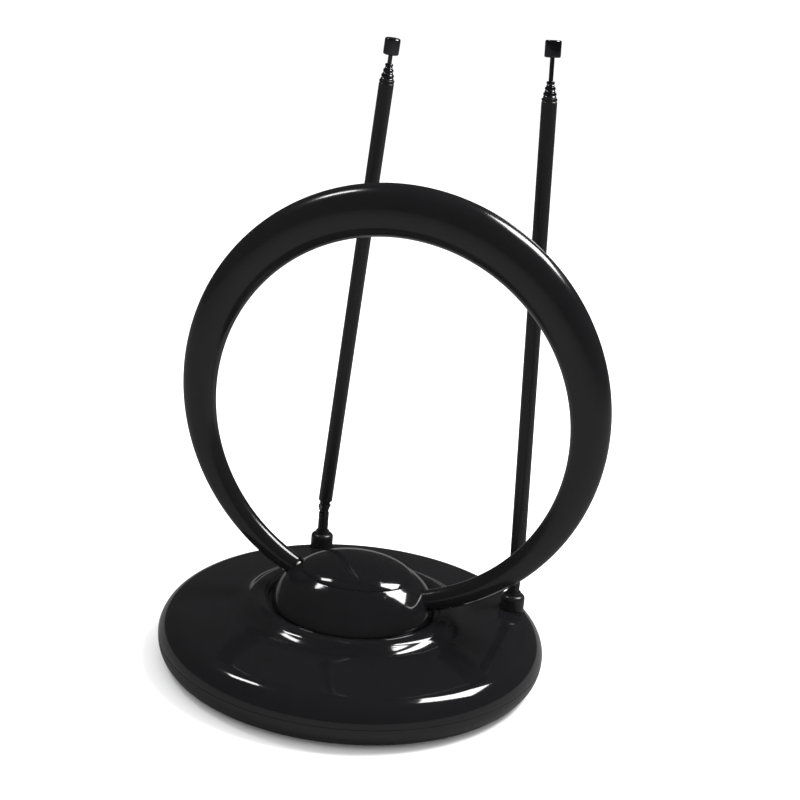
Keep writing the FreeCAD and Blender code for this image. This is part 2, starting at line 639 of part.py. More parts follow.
def stem():
    """The swivel stem: spigot, shoulder, neck and the flat tang that the fork straddles."""
    top = SOCKET_TOP + RUN - PIN_Z
    neck_top = -3.6
    spigot = cyl(STEM_R, 9.4 - PIN_Z, top)
    groove = tube(STEM_R + 1, GROOVE_R, CLIP_Z0 - PIN_Z, CLIP_Z1 - PIN_Z)
    shoulder = cyl(3.4, top, top + 1.2)
    neck = cyl(KNUCKLE_R, top, neck_top)
    tang = box(-KNUCKLE_R, KNUCKLE_R, -TANG_T / 2, TANG_T / 2, neck_top - 0.5, 0)
    tang = tang.common(cyl(KNUCKLE_R, -20, 20))
    eye = Part.makeCylinder(KNUCKLE_R, TANG_T, V(0, -TANG_T / 2, 0), Y_AXIS)
    hole = Part.makeCylinder(PIN_R + RUN, 10, V(0, -5, 0), Y_AXIS)
    return fuse_all([spigot, shoulder, neck, tang, eye]).cut([groove, hole]).removeSplitter()


def stem_clip():
    """An open retaining ring in the stem's groove, under the socket."""
    ring = tube(3.4, GROOVE_R + 0.03, CLIP_Z0 + 0.03 - PIN_Z, CLIP_Z1 - 0.03 - PIN_Z)
    return ring.cut(box(0, 10, -1.3, 1.3, -50, 0))


def fork():
    """The plug in the outer tube's foot, slotted to straddle the stem's tang."""
    reach = KNUCKLE_R + RUN
    plug = cyl(BORE_R[0] - 0.03, FORK_SHOULDER, FORK_TOP)
    cheeks = cyl(KNUCKLE_R, -reach, FORK_SHOULDER)
    rounding = box(-5, 5, -5, 5, 0, 20).fuse(Part.makeCylinder(reach, 10, V(0, -5, 0), Y_AXIS))
    cheeks = cheeks.common(rounding).common(box(-5, 5, -2.3, 2.3, -10, 20))
    slot = box(-5, 5, -SLOT_T / 2, SLOT_T / 2, -10, SLOT_TOP)
    hole = Part.makeCylinder(PIN_R + 0.02, 10, V(0, -5, 0), Y_AXIS)
    return plug.fuse(cheeks).cut([slot, hole]).removeSplitter()


def hinge_pin():
    """A rivet with a low head at each end."""
    shank = Part.makeCylinder(PIN_R, 4.64, V(0, -2.32, 0), Y_AXIS)
    heads = []
    for y in (-2.82, 2.32):
        heads.append(Part.makeCylinder(1.5, 0.5, V(0, y, 0), Y_AXIS))
    return fuse_all([shank] + heads).removeSplitter()


def tube_top(k):
    return OUTER_TOP + k * STEP_UP


def section_tube(k):
    """One telescopic tube: a guide collar at its foot and a crimped, beaded mouth at its top."""
    r, bore, foot, top = TUBE_R[k], BORE_R[k], TUBE_FEET[k], tube_top(k)
    mouth = TUBE_R[k + 1] + RUN
    bead = min(0.25, (r - mouth) / 2)
    outline = [(bore, foot)]
    if k:
        collar = BORE_R[k - 1] - RUN
        outline += [(collar, foot), (collar, foot + COLLAR_L), (r, foot + COLLAR_L + 0.4)]
    else:
        outline += [(r, foot)]
    outline += [(r, top - 1.7), (r - bead, top - 1.35), (r, top - 1.0), (r, top - 0.5), (r - bead, top),
                (mouth, top), (mouth, top - CRIMP_L), (bore, top - CRIMP_L - 0.4)]
    return polygon_lathe(outline)


def last_rod(side_name):
    """The solid last rod, with its own guide collar."""
    foot = TUBE_FEET[-1] + ROD_OUT[side_name] - ROD_OUT["left"]
    end = tube_top(3) + ROD_OUT[side_name] + 2
    return cyl(TUBE_R[-1], foot, end).fuse(cyl(BORE_R[-1] - RUN, foot, foot + COLLAR_L)).removeSplitter()


def tip(side_name):
    """The cylindrical cap on the last rod."""
    low = tube_top(3) + ROD_OUT[side_name]
    cap = cyl(TIP_R, low, low + TIP_H)
    cap = cap.makeFillet(0.7, [e for e in cap.Edges if e.Curve.TypeId == "Part::GeomCircle"])
    return cap.cut(cyl(TUBE_R[-1] + 0.02, low - 1, low + 2.05))


# ---- all the pieces ----
def write_base():
    export("base_shell", base_shell())
    export("base_cover", base_cover())
    export("rubber_feet", rubber_feet())
    export("ballast_plate", ballast_plate())
    export("cover_screws", cover_screws())
    export("cable_grommet", cable_grommet())
    export("circuit_board", circuit_board())
    export("board_screws", board_screws())
    export("balun_core", balun_core())
    export("balun_windings", balun_windings())
    export("capacitors", capacitors())
    for name, side in SIDES.items():
        export(name + "_socket", socket(side))
        export(name + "_socket_nut", socket_nut(side))
        export(name + "_solder_tag", solder_tag(side))
        export(name + "_lead", whip_lead(side))


def write_hub():
    export("hub_body", turned(hub_body()))
    export("hub_cap", turned(hub_cap()))
    export("hub_spindle", turned(hub_spindle()))
    export("spindle_washer", turned(spindle_washer()))
    export("wave_spring", turned(wave_spring()))
    export("spindle_nut", turned(spindle_nut()))
    export("loop_clamp", turned(loop_clamp()))
    export("clamp_screws", turned(clamp_screws()))


def write_loop():
    front, back = loop_shells()
    export("loop_front_shell", turned(front))
    export("loop_back_shell", turned(back))
    export("loop_conductor", turned(loop_conductor()))
    export("loop_plugs", turned(loop_plugs()))
    export("loop_terminals", turned(loop_terminals()))
    export("loop_leads", turned(loop_leads()))


def write_whip(name):
    export(name + "_stem", stand(stem(), name))
    export(name + "_stem_clip", stand(stem_clip(), name))
    export(name + "_fork", lean(fork(), name))
    export(name + "_hinge_pin", lean(hinge_pin(), name))
    for k in range(4):
        export(name + "_tube_" + str(k + 1), lean(section_tube(k), name))
    export(name + "_rod", lean(last_rod(name), name))
    export(name + "_tip", lean(tip(name), name))


os.makedirs("parts", exist_ok=True)
write_base()
write_hub()
write_loop()
for whip_name in SIDES:
    write_whip(whip_name)
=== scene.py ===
"""Looks of the indoor television antenna: polished black plastic and dark plated whips, built round the CAD frame.

Lengths in this file are millimetres in the CAD row frame; MM turns them into Blender's metres.
"""
import bpy
import json
from math import acos, asin, atan2, cos, degrees, pi, radians, sin, sqrt
from mathutils import Matrix, Vector


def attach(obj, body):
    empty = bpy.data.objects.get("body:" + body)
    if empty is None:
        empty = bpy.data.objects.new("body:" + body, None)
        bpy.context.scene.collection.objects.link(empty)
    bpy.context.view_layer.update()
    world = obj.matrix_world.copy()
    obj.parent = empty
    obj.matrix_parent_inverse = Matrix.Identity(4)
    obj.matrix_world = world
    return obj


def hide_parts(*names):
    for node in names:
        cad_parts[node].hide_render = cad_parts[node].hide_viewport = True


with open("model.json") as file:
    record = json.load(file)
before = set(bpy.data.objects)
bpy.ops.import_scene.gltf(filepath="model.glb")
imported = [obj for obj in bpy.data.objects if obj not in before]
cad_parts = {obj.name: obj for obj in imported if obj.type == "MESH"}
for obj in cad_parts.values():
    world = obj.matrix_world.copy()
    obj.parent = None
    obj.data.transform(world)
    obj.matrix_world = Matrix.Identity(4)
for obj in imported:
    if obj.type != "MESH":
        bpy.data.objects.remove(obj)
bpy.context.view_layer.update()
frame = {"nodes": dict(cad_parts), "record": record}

MM = 0.001
SMOOTH_BELOW = radians(32)     # neighbouring faces that turn by less than this are shaded as one surface

# ---- the shapes' dimensions, as in the CAD model ----
BASE_R, RIM_Z, RIM_R = 89.2, 11.0, 11.3
DOME_SLOPE, DOME_LEVEL_R = 8.0, 42.0
DOME_R = RIM_R + (BASE_R - RIM_R - DOME_LEVEL_R) / sin(radians(DOME_SLOPE))
DOME_CENTRE_Z = RIM_Z - (DOME_R - RIM_R) * cos(radians(DOME_SLOPE))
COLLAR_AT_R, COLLAR_Z, COLLAR_ROUND, COLLAR_IN_R, COLLAR_FOOT_R = 44.2, 29.4, 7.0, 40.2, 58.0
SEAT_Z, SEAT_UNDER, WALL = 26.5, 24.1, 2.4
PARTING = 0.32            # depth of the fine groove along a joint between two mouldings
SPINDLE_HOLE_R = 8.05     # the hole in the shell's seat, in which the hub's spindle turns

HUB_TURN = 16.0
HUB_UNDER, HUB_FLOOR_TOP, HUB_WALL = 26.55, 28.65, 2.2
FLOOR_HOLE_R = 8.02       # the hole in the hub's floor, which the spindle fills
SEAM_Z, SEAM_HALF_W, SEAM_HALF_D = 43.2, 26.2, 22.8
CAP_Z, CAP_CENTRE_Z = 50.1, 38.8
HUB_BELL = [              # the body's form: height, half width, half depth
    (26.55, 37.6, 37.6), (27.5, 38.0, 38.0), (29.5, 37.5, 36.9), (32.5, 36.3, 34.4), (35.5, 34.7, 31.6),
    (38.3, 32.5, 28.6), (40.9, 29.6, 25.7), (SEAM_Z, SEAM_HALF_W, SEAM_HALF_D)]

LOOP_R, LOOP_BOTTOM_Z, LOOP_PIVOT_Z, LOOP_LEAN = 90.0, 31.7, 23.7, 5.0
LOOP_TOP, LOOP_LEG = (11.7, 9.2), (4.7, 4.4)
LOOP_TO = 168.0           # the loop runs this far down each side from its top, in degrees
LEG_IN_X = 28.0           # inside this line the loop's cover ends, and its plug goes on to the clamp
LEG_GAP = 0.15            # fitting gap between a leg and its hole in the hub

WHIP_X, WHIP_Y, PIN_Z = 55.0, 54.6, 44.6     # each whip's stem, and the height of its hinge pin
SIDES = {"left": -1, "right": 1}
WHIP_LEAN = {"left": 5.9, "right": -3.3}
WHIP_TURN = {"left": -20.0, "right": -15.0}
ROD_OUT = {"left": 4.1, "right": 10.1}
TUBE_R = [3.5, 2.95, 2.4, 1.85, 1.0]
BORE_R = [r - 0.35 for r in TUBE_R[:-1]]
OUTER_TOP, STEP_UP = 217.0, 2.4              # the outer tube's mouth, and how far each next mouth stands out
TUBE_FEET = [3.2, 13.0, 14.0, 15.0, 16.0]    # lower end of each tube above the pin
GUIDE_L = 5.0                                # length of the guide collar at a tube's foot
TIP_R, TIP_H = 3.6, 7.4
SOCKET_R, SOCKET_Z, SOCKET_TOP = 5.6, 21.02, 29.9
SEAT_FLOOR_Z = 21.0       # floor of the round seat that the dome has for each socket
SEAT_GAP = 0.5


# ---- mesh helpers ----
def ellipse_points(centre, run, rise, start, end, count):
    """Points along an arc of an upright ellipse in a (radius, height) profile."""
    steps = [radians(start + (end - start) * k / count) for k in range(count + 1)]
    return [(centre[0] + run * cos(a), centre[1] + rise * sin(a)) for a in steps]


def circle_points(centre, r, start, end, count):
    return ellipse_points(centre, r, r, start, end, count)


def oval_lathe(rows, count):
    """Vertices and faces of a ring of ovals (half width, half depth, height). A row on the axis becomes one vertex."""
    verts, rings, faces = [], [], []
    for w, d, z in rows:
        if w < 1e-6:
            rings.append([len(verts)] * count)
            verts.append(Vector((0, 0, z)))
        else:
            rings.append(list(range(len(verts), len(verts) + count)))
            verts += [Vector((w * cos(2 * pi * k / count), d * sin(2 * pi * k / count), z)) for k in range(count)]
    for low, high in zip(rings, rings[1:] + rings[:1]):
        for k in range(count):
            j = (k + 1) % count
            face = list(dict.fromkeys([low[k], low[j], high[j], high[k]]))
            if len(face) > 2:
                faces.append(face)
    return verts, faces


def lathe(profile, count):
    """A closed (radius, height) profile turned round Z."""
    return oval_lathe([(r, r, z) for r, z in profile], count)


def piece(name, shape, material, body, replaces=(), place=Matrix.Identity(4)):
    """Makes one piece of the model out of vertices and faces, and hangs it on its CAD body."""
    verts, faces = shape
    mesh = bpy.data.meshes.new(name)
    mesh.from_pydata([(place @ v) * MM for v in verts], [], faces)
    mesh.validate()
    obj = bpy.data.objects.new(name, mesh)
    bpy.context.scene.collection.objects.link(obj)
    finish_mesh(obj)
    mesh.materials.append(material)
    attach(obj, body)
    if replaces:
        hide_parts(*replaces)
    return obj


def finish_mesh(obj):
    """Faces outwards, smooth shading, and sharp edges where the surface turns quickly."""
    bpy.context.view_layer.objects.active = obj
    obj.select_set(True)
    bpy.ops.object.mode_set(mode="EDIT")
    bpy.ops.mesh.select_all(action="SELECT")
    bpy.ops.mesh.normals_make_consistent(inside=False)
    bpy.ops.object.mode_set(mode="OBJECT")
    obj.select_set(False)
    obj.data.shade_smooth()
    obj.data.set_sharp_from_angle(angle=SMOOTH_BELOW)


def joined(*shapes):
    """Several shapes as one list of vertices and one of faces."""
    verts, faces = [], []
    for more_verts, more_faces in shapes:
        start = len(verts)
        verts += more_verts
        faces += [[start + k for k in face] for face in more_faces]
    return verts, faces


def moved(shape, matrix):
    return [matrix @ v for v in shape[0]], shape[1]


def cut_with(obj, cutter):
    """Cuts one mesh out of another for good."""
    modifier = obj.modifiers.new("cut", "BOOLEAN")
    modifier.operation = "DIFFERENCE"
    modifier.solver = "EXACT"
    modifier.object = cutter
    bpy.context.view_layer.update()
    graph = bpy.context.evaluated_depsgraph_get()
    mesh = bpy.data.meshes.new_from_object(obj.evaluated_get(graph))
    obj.modifiers.clear()
    obj.data = mesh
    mesh.shade_smooth()
    mesh.set_sharp_from_angle(angle=SMOOTH_BELOW)


# ---- materials ----
def node(tree, kind, **inputs):
    made = tree.nodes.new(kind)
    for key, value in inputs.items():
        made.inputs[key.replace("_", " ")].default_value = value
    return made


def surface(name, colour, rough, metallic=0.0, grain=900.0, rough_spread=0.05, shade_spread=0.15, bump=0.0,
            stretch=(1, 1, 1), coat=0.0, wave=0.0):
    """A procedural finish: uneven colour and gloss from one noise, and a fine relief from another."""
    material = bpy.data.materials.new(name)
    material.use_nodes = True
    tree = material.node_tree
    shader = tree.nodes["Principled BSDF"]
    shader.inputs["Metallic"].default_value = metallic
    shader.inputs["Coat Weight"].default_value = coat
    shader.inputs["Coat Roughness"].default_value = 0.04
    place = node(tree, "ShaderNodeTexCoord")
    scale = node(tree, "ShaderNodeMapping", Scale=stretch)
    tree.links.new(place.outputs["Object"], scale.inputs["Vector"])
    broad = node(tree, "ShaderNodeTexNoise", Scale=grain / 14, Detail=4.0, Roughness=0.6)
    tree.links.new(scale.outputs["Vector"], broad.inputs["Vector"])
    gloss = node(tree, "ShaderNodeMapRange", From_Min=0.3, From_Max=0.7, To_Min=max(rough - rough_spread, 0.02),
                 To_Max=rough + rough_spread)
    tree.links.new(broad.outputs["Fac"], gloss.inputs["Value"])
    tree.links.new(gloss.outputs["Result"], shader.inputs["Roughness"])
    shades = tree.nodes.new("ShaderNodeValToRGB")
    for stop, factor in zip(shades.color_ramp.elements, (1 - shade_spread, 1 + shade_spread)):
        stop.color = (*(min(c * factor, 1.0) for c in colour), 1.0)
    tree.links.new(broad.outputs["Fac"], shades.inputs["Fac"])
    tree.links.new(shades.outputs["Color"], shader.inputs["Base Color"])
    if bump:
        fine = node(tree, "ShaderNodeTexNoise", Scale=grain, Detail=3.0)
        tree.links.new(scale.outputs["Vector"], fine.inputs["Vector"])
        relief = node(tree, "ShaderNodeBump", Strength=bump, Distance=0.0001)
        tree.links.new(fine.outputs["Fac"], relief.inputs["Height"])
        tree.links.new(relief.outputs["Normal"], shader.inputs["Normal"])
    if wave:
        slow = node(tree, "ShaderNodeTexNoise", Scale=38.0, Detail=1.0)
        tree.links.new(place.outputs["Object"], slow.inputs["Vector"])
        sink = node(tree, "ShaderNodeBump", Strength=wave, Distance=0.0004)
        tree.links.new(slow.outputs["Fac"], sink.inputs["Height"])
        if bump:
            tree.links.new(relief.outputs["Normal"], sink.inputs["Normal"])
        tree.links.new(sink.outputs["Normal"], shader.inputs["Normal"])
    return material


FINISH = {
    "shell_black": surface("shell_black", (0.0060, 0.0060, 0.0066), 0.08, rough_spread=0.02, bump=0.02, wave=0.06),
    "cover_black": surface("cover_black", (0.0065, 0.0065, 0.0070), 0.17, rough_spread=0.04, bump=0.03, wave=0.08),
    "hub_black": surface("hub_black", (0.0060, 0.0060, 0.0066), 0.09, rough_spread=0.02, bump=0.02, wave=0.06),
    "loop_black": surface("loop_black", (0.0062, 0.0062, 0.0068), 0.16, rough_spread=0.04, bump=0.03, wave=0.12),
    "foot_rubber": surface("foot_rubber", (0.020, 0.020, 0.020), 0.75, bump=0.5, grain=2200.0),
    "grommet_rubber": surface("grommet_rubber", (0.016, 0.016, 0.016), 0.68, bump=0.4, grain=2600.0),
    "ballast_iron": surface("ballast_iron", (0.16, 0.15, 0.145), 0.48, 0.9, bump=0.5, rough_spread=0.15),
    "screw_steel": surface("screw_steel", (0.55, 0.56, 0.58), 0.30, 1.0, bump=0.2, grain=3000.0),
    "board_green": surface("board_green", (0.012, 0.085, 0.030), 0.35, bump=0.3, grain=1500.0, coat=0.4),
    "ferrite": surface("ferrite", (0.035, 0.035, 0.040), 0.60, bump=0.6, grain=2600.0),
    "winding_copper": surface("winding_copper", (0.42, 0.13, 0.045), 0.28, 1.0, grain=2500.0, bump=0.1),
    "capacitor_tan": surface("capacitor_tan", (0.42, 0.17, 0.035), 0.42, bump=0.3, grain=1800.0, coat=0.3),
    "socket_black": surface("socket_black", (0.013, 0.013, 0.014), 0.27, 0.35, grain=2600.0, bump=0.10),
    "nut_brass": surface("nut_brass", (0.52, 0.35, 0.11), 0.32, 1.0, grain=2400.0, bump=0.15),
    "tag_tin": surface("tag_tin", (0.60, 0.60, 0.57), 0.36, 1.0, grain=2600.0, bump=0.2),
    "lead_red": surface("lead_red", (0.20, 0.008, 0.008), 0.45, grain=2600.0, bump=0.1),
    "lead_grey": surface("lead_grey", (0.10, 0.10, 0.105), 0.45, grain=2600.0, bump=0.1),
    "clamp_nylon": surface("clamp_nylon", (0.56, 0.54, 0.47), 0.50, grain=1400.0, bump=0.25),
    "conductor_aluminium": surface("conductor_aluminium", (0.66, 0.66, 0.68), 0.33, 1.0, grain=2000.0, bump=0.2),
    "terminal_brass": surface("terminal_brass", (0.55, 0.37, 0.12), 0.33, 1.0, grain=2600.0, bump=0.15),
    "whip_black": surface("whip_black", (0.010, 0.010, 0.011), 0.30, 0.25, grain=2200.0, rough_spread=0.07, bump=0.10,
                          stretch=(1, 1, 0.12)),
    "whip_chrome": surface("whip_chrome", (0.10, 0.10, 0.11), 0.14, 1.0, grain=2600.0, rough_spread=0.05, bump=0.05,
                           stretch=(1, 1, 0.3)),
    "pin_steel": surface("pin_steel", (0.20, 0.20, 0.21), 0.30, 1.0, grain=3000.0, bump=0.15),
}


def dress_cad_nodes():
    """Every CAD node that stays visible gets the procedural finish of its slot."""
    slots = {row["node"]: row["material_slot"] for row in frame["record"]["subparts"]}
    for name, obj in frame["nodes"].items():
        obj.data.materials.clear()
        obj.data.materials.append(FINISH[slots[name]])


# ---- base ----
RIM_CENTRE = Vector((BASE_R - RIM_R, RIM_Z))
DOME_CENTRE = Vector((DOME_LEVEL_R, DOME_CENTRE_Z))
COLLAR_CENTRE = Vector((COLLAR_AT_R, COLLAR_Z - COLLAR_ROUND))
FOOT_ANGLE = degrees(acos((COLLAR_FOOT_R - DOME_LEVEL_R) / DOME_R))


def hollow_circle():
    """Centre and radius of the hollow that runs smoothly from the dome into the collar's rounding."""
    outward = Vector((cos(radians(FOOT_ANGLE)), sin(radians(FOOT_ANGLE))))
    foot = DOME_CENTRE + outward * DOME_R
    away = foot - COLLAR_CENTRE
    r = (away.length_squared - COLLAR_ROUND ** 2) / (2 * (COLLAR_ROUND - away.dot(outward)))
    return foot + outward * r, r


def shell_skin(inset, first, last):
    """The shell's skin from the rim inwards: rim, dome, hollow and collar, drawn in by a wall."""
    hollow_at, hollow_r = hollow_circle()
    rise = hollow_at - COLLAR_CENTRE
    collar_angle = degrees(atan2(rise.y, rise.x))
    rim = circle_points(RIM_CENTRE, RIM_R - inset, first, 90 - DOME_SLOPE, 36)
    dome = circle_points(DOME_CENTRE, DOME_R - inset, 90 - DOME_SLOPE, FOOT_ANGLE, 36)
    hollow = circle_points(hollow_at, hollow_r + inset, 180 + FOOT_ANGLE, 180 + collar_angle, 28)
    collar = circle_points(COLLAR_CENTRE, COLLAR_ROUND - inset, collar_angle, last, 28)
    return rim + dome[1:] + hollow[1:] + collar[1:]


def shell_profile():
    """The upper shell: from the parting groove over rim, dome and collar down to the seat, then back inside."""
    in_angle = degrees(acos((COLLAR_IN_R - COLLAR_AT_R) / COLLAR_ROUND))
    under_angle = 180 - degrees(asin((SEAT_UNDER - COLLAR_CENTRE.y) / (COLLAR_ROUND - WALL)))
    edge = [(BASE_R - WALL, RIM_Z), (BASE_R - PARTING, RIM_Z), (BASE_R - 0.10, RIM_Z + 0.14)]
    seat = [(COLLAR_IN_R, SEAT_Z + 0.3), (COLLAR_IN_R - 0.3, SEAT_Z), (SPINDLE_HOLE_R, SEAT_Z),
            (SPINDLE_HOLE_R, SEAT_UNDER)]
    under = shell_skin(WALL, 1.0, under_angle)
    return edge + shell_skin(0, 2.5, in_angle) + seat + under[::-1]


def seat_cutter(side):
    """The round seat sunk into the dome, in which a whip's socket stands."""
    r = SOCKET_R + SEAT_GAP
    profile = [(0.0, SEAT_FLOOR_Z), (r, SEAT_FLOOR_Z), (r, COLLAR_Z + 10), (0.0, COLLAR_Z + 10)]
    return moved(lathe(profile, 96), Matrix.Translation((side * WHIP_X, WHIP_Y, 0)))


def build_base():
    shell = piece("base_shell_moulding", lathe(shell_profile(), 320), FINISH["shell_black"], "base",
                  ["base_shell"])
    seats = plain_object("seat_cutter", joined(seat_cutter(-1), seat_cutter(1)))
    cut_with(shell, seats)
    bpy.data.objects.remove(seats)


# ---- hub and loop ----
TURNED = Matrix.Rotation(radians(HUB_TURN), 4, "Z")


def bell_at(z):
    """Half width and half depth of the hub's body at a height: a smooth curve through the rows of HUB_BELL."""
    rows = [HUB_BELL[0]] + HUB_BELL + [HUB_BELL[-1]]
    k = max(1, min(len(rows) - 3, sum(row[0] <= z for row in HUB_BELL)))
    (za, *a), (zb, *b), (zc, *c), (zd, *d) = rows[k - 1:k + 3]
    t = (z - zb) / (zc - zb)
    sizes = []
    for pa, pb, pc, pd in zip(a, b, c, d):
        into, out = (pc - pa) / (zc - za) * (zc - zb), (pd - pb) / (zd - zb) * (zc - zb)
        cubic = (2 * t ** 3 - 3 * t ** 2 + 1) * pb + (3 * t ** 2 - 2 * t ** 3) * pc
        sizes.append(cubic + (t ** 3 - 2 * t ** 2 + t) * into + (t ** 3 - t ** 2) * out)
    return sizes


def hub_bell():
    """The bell-shaped body: its skin up to the groove at the seam, the wall's inner side and the floor."""
    steps = 64
    rows = []
    for k in range(steps + 1):
        z = HUB_UNDER + (SEAM_Z - 0.12 - HUB_UNDER) * k / steps
        rows.append((*bell_at(z), z))
    groove = (SEAM_HALF_W - PARTING, SEAM_HALF_D - PARTING, SEAM_Z)
    inner = [(w - HUB_WALL, d - HUB_WALL, z) for w, d, z in rows[::-4] if z > HUB_FLOOR_TOP]
    mouth = (SEAM_HALF_W - HUB_WALL, SEAM_HALF_D - HUB_WALL, SEAM_Z)
    w, d = bell_at(HUB_FLOOR_TOP)
    floor = [(w - HUB_WALL, d - HUB_WALL, HUB_FLOOR_TOP), (FLOOR_HOLE_R, FLOOR_HOLE_R, HUB_FLOOR_TOP),
             (FLOOR_HOLE_R, FLOOR_HOLE_R, HUB_UNDER)]
    return oval_lathe(rows + [groove, mouth] + inner + floor, 256)


def cap_rows(inset, from_z, count):
    """Rows of the cap's ellipsoid from a height to its top, drawn in by a wall."""
    height = CAP_Z - CAP_CENTRE_Z
    half_w = SEAM_HALF_W / sqrt(1 - ((SEAM_Z - CAP_CENTRE_Z) / height) ** 2) - inset
    height -= inset
    start = degrees(asin((from_z - CAP_CENTRE_Z) / height))
    curve = ellipse_points((0, CAP_CENTRE_Z), half_w, height, start, 90, count)
    narrow = SEAM_HALF_D / SEAM_HALF_W
    return [(w, w * narrow, z) for w, z in curve[:-1]] + [(0.0, 0.0, CAP_CENTRE_Z + height)]


def hub_cap():
    """The domed cap, with a fine groove at its lower edge."""
    groove = [(SEAM_HALF_W - PARTING, SEAM_HALF_D - PARTING, SEAM_Z + 0.05)]
    return oval_lathe(groove + cap_rows(0, SEAM_Z + 0.2, 64) + cap_rows(HUB_WALL, SEAM_Z + 0.05, 40)[::-1], 256)


def loop_point(angle, across, face):
    """A point on the upright loop's oval section: face runs from -90 at one parting line to 90 at the other."""
    share = (1 + cos(radians(angle))) / 2
    p = LOOP_LEG[0] + (LOOP_TOP[0] - LOOP_LEG[0]) * share
    q = LOOP_LEG[1] + (LOOP_TOP[1] - LOOP_LEG[1]) * share
    r = LOOP_R + (p + across) * sin(radians(face))
    y = (q + across) * cos(radians(face))
    return Vector((r * sin(radians(angle)), y, LOOP_BOTTOM_Z + LOOP_R + r * cos(radians(angle))))


LEANED = Matrix.Translation((0, 0, LOOP_PIVOT_Z)) @ Matrix.Rotation(radians(LOOP_LEAN), 4, "Y") \
    @ Matrix.Translation((0, 0, -LOOP_PIVOT_Z))


def section_faces():
    """Angles and offsets of the points round half of the section, with a fine groove at each parting line."""
    count = 40
    rows = [(-90.0, -PARTING)]
    rows += [(-90 + 180 * (k + 0.35) / count, 0) for k in range(count)]
    return rows + [(90.0, -PARTING)]


def loop_half(front):
    """One half of the loop's cover: the outer skin of the front or the back moulding, closed at the parting plane."""
    steps = 288
    side = -1 if front else 1
    rows = section_faces()
    verts, faces = [], []
    for k in range(steps + 1):
        angle = -LOOP_TO + 2 * LOOP_TO * k / steps
        for face, across in rows:
            point = loop_point(angle, across, face)
            point.y = side * max(point.y, 0.0)
            verts.append(LEANED @ point)
    width = len(rows)
    for k in range(steps):
        for j in range(width - 1):
            a, b = k * width + j, (k + 1) * width + j
            faces.append([a, a + 1, b + 1, b])
        faces.append([k * width, (k + 1) * width, (k + 2) * width - 1, (k + 1) * width - 1])
    faces.append(list(range(width)))
    faces.append(list(range(steps * width, (steps + 1) * width)))
    return verts, faces


def leg_cutter():
    """The legs' room in the hub: the loop's form grown by the fitting gap, outside the hub's hollow."""
    steps, round_count, start = 60, 64, 140
    shapes = []
    for side in (-1, 1):
        verts, faces = [], []
        for k in range(steps + 1):
            angle = side * (start + (LOOP_TO - start) * k / steps)
            for j in range(round_count):
                verts.append(LEANED @ loop_point(angle, LEG_GAP, 360 * j / round_count))
        for k in range(steps):
            for j in range(round_count):
                a, b = k * round_count + j, k * round_count + (j + 1) % round_count
                faces.append([a, b, b + round_count, a + round_count])
        faces.append(list(range(round_count)))
        faces.append(list(range(steps * round_count, (steps + 1) * round_count)))
        shapes.append((verts, faces))
    return joined(*shapes)


def plain_object(name, shape, place=Matrix.Identity(4)):
    """A helper shape that isn't a piece of the model."""
    mesh = bpy.data.meshes.new(name)
    mesh.from_pydata([(place @ v) * MM for v in shape[0]], [], shape[1])
    obj = bpy.data.objects.new(name, mesh)
    bpy.context.scene.collection.objects.link(obj)
    finish_mesh(obj)
    return obj


def block(x0, x1, y0, y1, z0, z1):
    verts = [Vector((x, y, z)) for z in (z0, z1) for y in (y0, y1) for x in (x0, x1)]
    faces = [[0, 2, 3, 1], [4, 5, 7, 6], [0, 1, 5, 4], [2, 6, 7, 3], [0, 4, 6, 2], [1, 3, 7, 5]]
    return verts, faces


def build_hub():
    body = piece("hub_body_moulding", hub_bell(), FINISH["hub_black"], "hub", ["hub_body"], TURNED)
    cap = piece("hub_cap_moulding", hub_cap(), FINISH["hub_black"], "hub", ["hub_cap"], TURNED)
    legs = plain_object("leg_cutter", leg_cutter(), TURNED)
    for obj in (body, cap):
        cut_with(obj, legs)
    bpy.data.objects.remove(legs)


def build_loop():
    trim = plain_object("hub_hollow", block(-LEG_IN_X, LEG_IN_X, -30, 30, 0, 60), TURNED)
    for name, front in (("front", True), ("back", False)):
        half = piece("loop_" + name + "_moulding", loop_half(front), FINISH["loop_black"], "hub",
                     ["loop_" + name + "_shell"], TURNED)
        cut_with(half, trim)
    bpy.data.objects.remove(trim)


# ---- whips ----
def on_stem(side_name):
    """From a whip's own upright frame, with the pin at its origin, to the row frame."""
    spot = Matrix.Translation((SIDES[side_name] * WHIP_X, WHIP_Y, PIN_Z))
    turn = Matrix.Rotation(radians(WHIP_TURN[side_name]), 4, "Z")
    return spot @ turn @ Matrix.Rotation(radians(WHIP_LEAN[side_name]), 4, "Y")


def tube_top(k):
    """Height of a tube's mouth above the pin."""
    return OUTER_TOP + k * STEP_UP


def tube_profile(k):
    """One telescopic tube, with its guide collar, its bead and its crimped mouth."""
    r, bore, foot, top = TUBE_R[k], BORE_R[k], TUBE_FEET[k], tube_top(k)
    mouth = TUBE_R[k + 1] + 0.05
    bead = min(0.25, (r - mouth) / 2)
    outline = [(bore, foot)]
    if k:
        collar = BORE_R[k - 1] - 0.05
        outline += [(collar, foot), (collar, foot + GUIDE_L), (r, foot + GUIDE_L + 0.4)]
    else:
        outline += [(r - 0.15, foot), (r, foot + 0.15)]
    groove = [(r, top - 1.75), (r - bead * 0.75, top - 1.55), (r - bead, top - 1.35), (r - bead * 0.75, top - 1.15),
              (r, top - 0.95)]
    lip = [(r, top - 0.45), (r - bead * 0.3, top - 0.15), (r - bead, top), (mouth, top)]
    return outline + groove + lip + [(mouth, top - 3.0), (bore, top - 3.4)]


